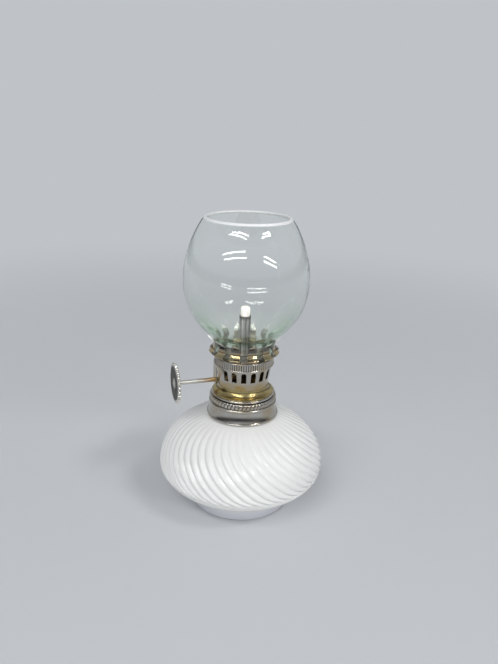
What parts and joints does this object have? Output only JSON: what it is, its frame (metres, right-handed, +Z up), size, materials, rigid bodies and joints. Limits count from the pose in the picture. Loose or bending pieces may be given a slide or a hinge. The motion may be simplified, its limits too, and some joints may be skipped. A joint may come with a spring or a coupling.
{
  "type": "miniature oil lamp",
  "caption": "Small free-standing oil lamp: ribbed opal glass font, plated collar, pronged burner with a side wick winder and a clear ball chimney.",
  "frame": {"origin": "on the table under the middle of the foot", "axes": "+Z up along the lamp's axis; the winder shaft points along -X and passes the wick on its +Y side"},
  "size_m": [0.0768, 0.0768, 0.134],
  "materials": {
    "opal_glass": "glossy, opaque white",
    "clear_glass": "clear, faintly green",
    "plated_metal": "worn nickel plating",
    "brass": "aged",
    "plaster": "matt",
    "cotton": "woven cord"
  },
  "bodies": {
    "base": {"font": "opal_glass", "neck_plaster": "plaster", "collar_shell": "plated_metal", "thread_ring": "brass"},
    "burner": {"burner_base": "brass", "tube_plate": "brass", "basket": "plated_metal", "shaft_bearing": "plated_metal", "crown": "plated_metal", "deck_plate": "plated_metal", "wick_tube": "plated_metal", "winder_bracket": "brass"},
    "winder": {"winder_shaft": "plated_metal", "spur_wheel": "brass", "thumb_wheel": "plated_metal"},
    "wick": {"wick": "cotton"},
    "chimney": {"chimney": "clear_glass"}
  },
  "joints": [
    {"name": "burner_lift", "type": "slide", "parent": "base", "child": "burner", "axis": [0, 0, 1], "range_m": [0, 0.06]},
    {"name": "winder_turn", "type": "hinge", "parent": "burner", "child": "winder", "pos_m": [0, 0.0044, 0.0592], "axis": [-1, 0, 0], "range_deg": [-104, 208]},
    {"name": "wick_slide", "type": "slide", "parent": "burner", "child": "wick", "axis": [0, 0, 1], "range_m": [-0.0041, 0.0081]},
    {"name": "chimney_lift", "type": "slide", "parent": "burner", "child": "chimney", "axis": [0, 0, 1], "range_m": [0, 0.045]}
  ],
  "couplings": [
    {"joint": "wick_slide", "follows": "winder_turn", "m_per_rad": 0.0022}
  ]
}
